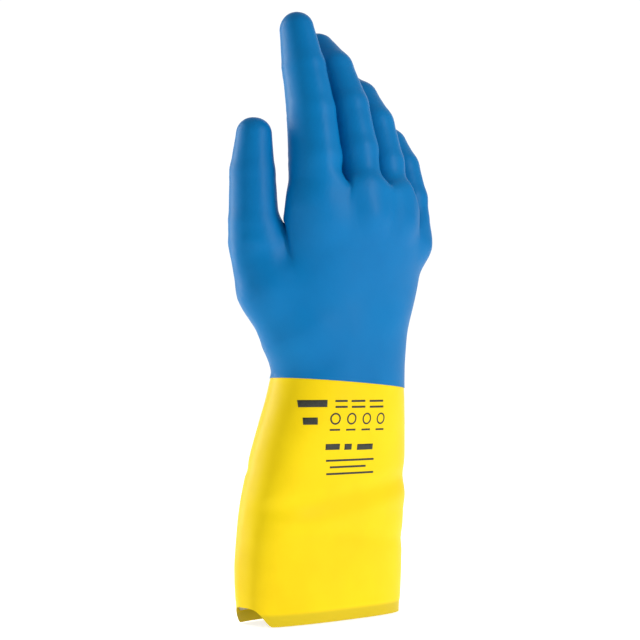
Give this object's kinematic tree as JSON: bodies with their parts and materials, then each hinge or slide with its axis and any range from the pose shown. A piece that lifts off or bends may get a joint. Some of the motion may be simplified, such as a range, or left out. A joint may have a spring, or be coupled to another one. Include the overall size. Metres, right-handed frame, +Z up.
{
  "type": "dipped rubber safety glove",
  "caption": "Long right-hand dipped rubber glove: yellow flock-lined cuff, blue overdip on the hand, fingers bend at hand joints.",
  "frame": {"origin": "middle of the cuff's opening, in the plane of the rim that the glove stands on", "axes": "+Z up from the cuff to the fingertips, -Y out of the back of the hand, -X towards the thumb side"},
  "size_m": [0.116, 0.0684, 0.313],
  "materials": {
    "blue_rubber": "satin",
    "yellow_latex": "satin",
    "flock": "matte flock",
    "print_ink": "matte"
  },
  "bodies": {
    "cuff": {"cuff_latex": "yellow_latex", "cuff_lining": "flock", "cuff_print": "print_ink", "wrist_zone_latex": "yellow_latex", "wrist_zone_coat": "blue_rubber"},
    "wrist": {"wrist_latex": "yellow_latex", "wrist_coat": "blue_rubber", "wrist_lining": "flock", "heel_zone": "blue_rubber"},
    "palm": {"palm_latex": "yellow_latex", "palm_coat": "blue_rubber", "palm_lining": "flock", "index_proximal_zone": "blue_rubber", "middle_proximal_zone": "blue_rubber", "ring_proximal_zone": "blue_rubber", "little_proximal_zone": "blue_rubber", "thumb_proximal_zone": "blue_rubber"},
    "index_proximal": {"index_proximal_liner": "flock", "index_proximal_coat": "blue_rubber", "index_middle_zone": "blue_rubber"},
    "index_middle": {"index_middle_liner": "flock", "index_middle_coat": "blue_rubber", "index_distal_zone": "blue_rubber"},
    "index_distal": {"index_distal_liner": "flock", "index_distal_coat": "blue_rubber"},
    "middle_proximal": {"middle_proximal_liner": "flock", "middle_proximal_coat": "blue_rubber", "middle_middle_zone": "blue_rubber"},
    "middle_middle": {"middle_middle_liner": "flock", "middle_middle_coat": "blue_rubber", "middle_distal_zone": "blue_rubber"},
    "middle_distal": {"middle_distal_liner": "flock", "middle_distal_coat": "blue_rubber"},
    "ring_proximal": {"ring_proximal_liner": "flock", "ring_proximal_coat": "blue_rubber", "ring_middle_zone": "blue_rubber"},
    "ring_middle": {"ring_middle_liner": "flock", "ring_middle_coat": "blue_rubber", "ring_distal_zone": "blue_rubber"},
    "ring_distal": {"ring_distal_liner": "flock", "ring_distal_coat": "blue_rubber"},
    "little_proximal": {"little_proximal_liner": "flock", "little_proximal_coat": "blue_rubber", "little_middle_zone": "blue_rubber"},
    "little_middle": {"little_middle_liner": "flock", "little_middle_coat": "blue_rubber", "little_distal_zone": "blue_rubber"},
    "little_distal": {"little_distal_liner": "flock", "little_distal_coat": "blue_rubber"},
    "thumb_proximal": {"thumb_proximal_liner": "flock", "thumb_proximal_coat": "blue_rubber", "thumb_distal_zone": "blue_rubber"},
    "thumb_distal": {"thumb_distal_liner": "flock", "thumb_distal_coat": "blue_rubber"}
  },
  "joints": [
    {"name": "wrist_flex", "type": "hinge", "parent": "cuff", "child": "wrist", "pos_m": [0.00587, -0.00787, 0.128], "axis": [-1, 0, 0], "range_deg": [-40, 40], "stiffness_Nm_per_rad": 1.2, "deforming": ["wrist_zone_latex", "wrist_zone_coat"]},
    {"name": "wrist_side_bend", "type": "hinge", "parent": "wrist", "child": "palm", "pos_m": [0.006, -0.0115, 0.15], "axis": [0, 1, 0], "range_deg": [-15, 20], "stiffness_Nm_per_rad": 1.2, "deforming": ["heel_zone"]},
    {"name": "index_root_bend", "type": "hinge", "parent": "palm", "child": "index_proximal", "pos_m": [-0.0235, -0.01678, 0.23554], "axis": [-1, 0, 0], "range_deg": [-17, 58], "stiffness_Nm_per_rad": 0.05, "deforming": ["index_proximal_zone"]},
    {"name": "index_middle_bend", "type": "hinge", "parent": "index_proximal", "child": "index_middle", "pos_m": [-0.0235, -0.01409, 0.25894], "axis": [-1, 0, 0], "range_deg": [-6, 79], "stiffness_Nm_per_rad": 0.05, "deforming": ["index_middle_zone"]},
    {"name": "index_tip_bend", "type": "hinge", "parent": "index_middle", "child": "index_distal", "pos_m": [-0.0235, -0.00913, 0.28207], "axis": [-1, 0, 0], "range_deg": [-2, 48], "stiffness_Nm_per_rad": 0.05, "deforming": ["index_distal_zone"]},
    {"name": "middle_root_bend", "type": "hinge", "parent": "palm", "child": "middle_proximal", "pos_m": [-0.0003, -0.02146, 0.23974], "axis": [-1, 0, 0], "range_deg": [-26, 49], "stiffness_Nm_per_rad": 0.05, "deforming": ["middle_proximal_zone"]},
    {"name": "middle_middle_bend", "type": "hinge", "parent": "middle_proximal", "child": "middle_middle", "pos_m": [-0.0003, -0.01518, 0.26222], "axis": [-1, 0, 0], "range_deg": [-11, 74], "stiffness_Nm_per_rad": 0.05, "deforming": ["middle_middle_zone"]},
    {"name": "middle_tip_bend", "type": "hinge", "parent": "middle_middle", "child": "middle_distal", "pos_m": [-0.0003, -0.00568, 0.28178], "axis": [-1, 0, 0], "range_deg": [-19, 31], "stiffness_Nm_per_rad": 0.05, "deforming": ["middle_distal_zone"]},
    {"name": "ring_root_bend", "type": "hinge", "parent": "palm", "child": "ring_proximal", "pos_m": [0.0223, -0.01816, 0.23452], "axis": [-1, 0, 0], "range_deg": [-29, 46], "stiffness_Nm_per_rad": 0.05, "deforming": ["ring_proximal_zone"]},
    {"name": "ring_middle_bend", "type": "hinge", "parent": "ring_proximal", "child": "ring_middle", "pos_m": [0.0223, -0.01152, 0.25455], "axis": [-1, 0, 0], "range_deg": [-17, 68], "stiffness_Nm_per_rad": 0.05, "deforming": ["ring_middle_zone"]},
    {"name": "ring_tip_bend", "type": "hinge", "parent": "ring_middle", "child": "ring_distal", "pos_m": [0.0223, -0.00208, 0.26818], "axis": [-1, 0, 0], "range_deg": [-18, 32], "stiffness_Nm_per_rad": 0.05, "deforming": ["ring_distal_zone"]},
    {"name": "little_root_bend", "type": "hinge", "parent": "palm", "child": "little_proximal", "pos_m": [0.0438, -0.01556, 0.21781], "axis": [-1, 0, 0], "range_deg": [-28, 47], "stiffness_Nm_per_rad": 0.05, "deforming": ["little_proximal_zone"]},
    {"name": "little_middle_bend", "type": "hinge", "parent": "little_proximal", "child": "little_middle", "pos_m": [0.0438, -0.01051, 0.23412], "axis": [-1, 0, 0], "range_deg": [-18, 62], "stiffness_Nm_per_rad": 0.05, "deforming": ["little_middle_zone"]},
    {"name": "little_tip_bend", "type": "hinge", "parent": "little_middle", "child": "little_distal", "pos_m": [0.0438, -0.00273, 0.24537], "axis": [-1, 0, 0], "range_deg": [-18, 32], "stiffness_Nm_per_rad": 0.05, "deforming": ["little_distal_zone"]},
    {"name": "thumb_root_bend", "type": "hinge", "parent": "palm", "child": "thumb_proximal", "pos_m": [-0.047, 0.00303, 0.20274], "axis": [-1, 0, 0], "range_deg": [-12, 50], "stiffness_Nm_per_rad": 0.05, "deforming": ["thumb_proximal_zone"]},
    {"name": "thumb_tip_bend", "type": "hinge", "parent": "thumb_proximal", "child": "thumb_distal", "pos_m": [-0.047, 0.00347, 0.22902], "axis": [-1, 0, 0], "range_deg": [-5, 67], "stiffness_Nm_per_rad": 0.05, "deforming": ["thumb_distal_zone"]}
  ]
}
